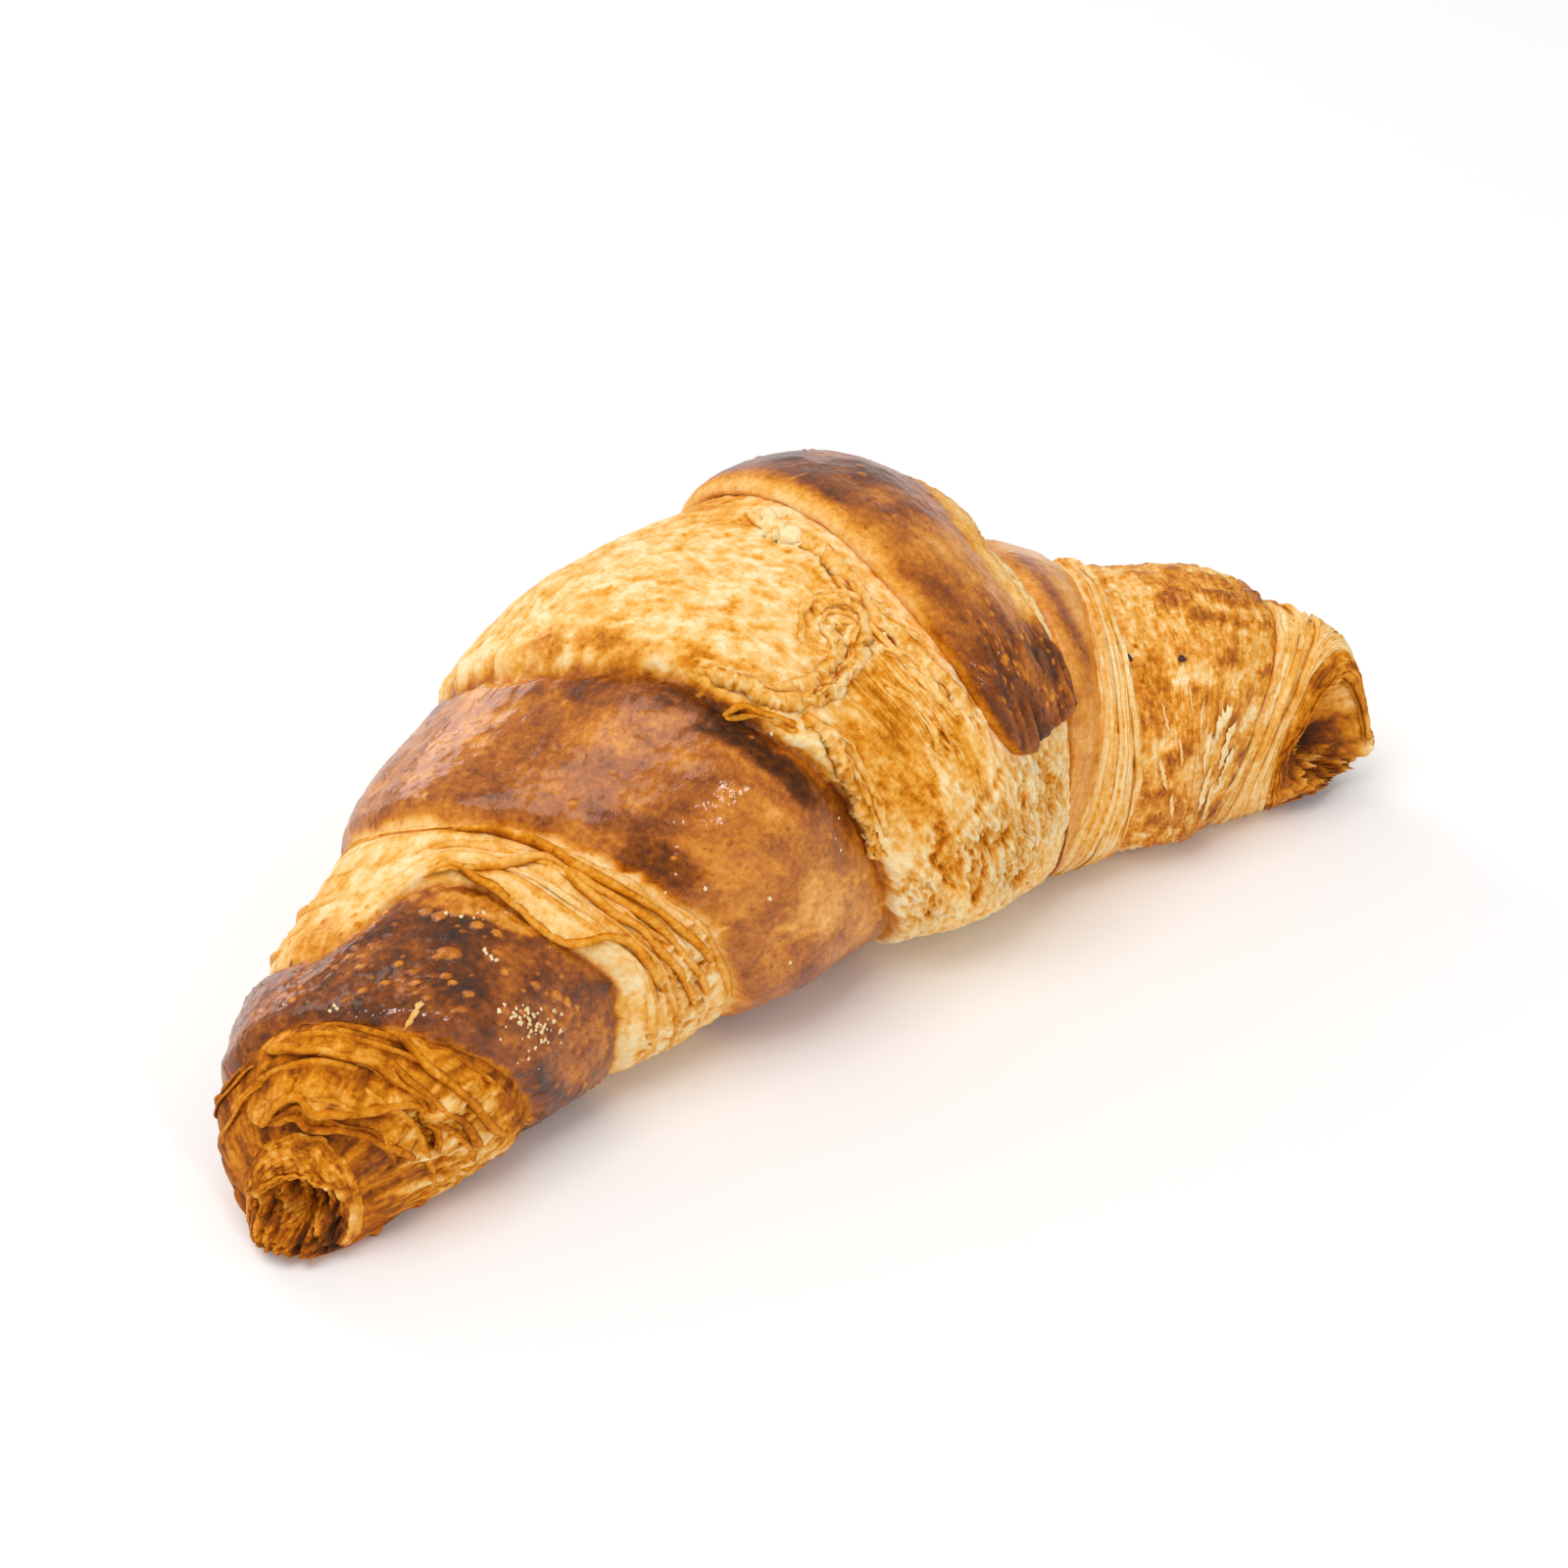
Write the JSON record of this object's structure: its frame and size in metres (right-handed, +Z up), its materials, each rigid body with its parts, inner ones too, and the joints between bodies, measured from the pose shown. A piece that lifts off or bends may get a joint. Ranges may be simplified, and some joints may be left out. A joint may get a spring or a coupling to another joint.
{
  "type": "croissant",
  "caption": "Baked butter croissant: a rolled crescent of flaky laminated dough with stepped turns, a tongue over the top and two open tips.",
  "frame": {"origin": "under the middle of the croissant's box, on the surface it rests on", "axes": "+X along the roll from the left tip to the right tip, +Z up, both tips curve towards -Y, the front"},
  "size_m": [0.1802, 0.0688, 0.0636],
  "materials": {
    "baked_crust": "golden brown baked laminated dough, satin where it is glazed"
  },
  "bodies": {
    "root": {"croissant": "baked_crust"}
  },
  "joints": []
}
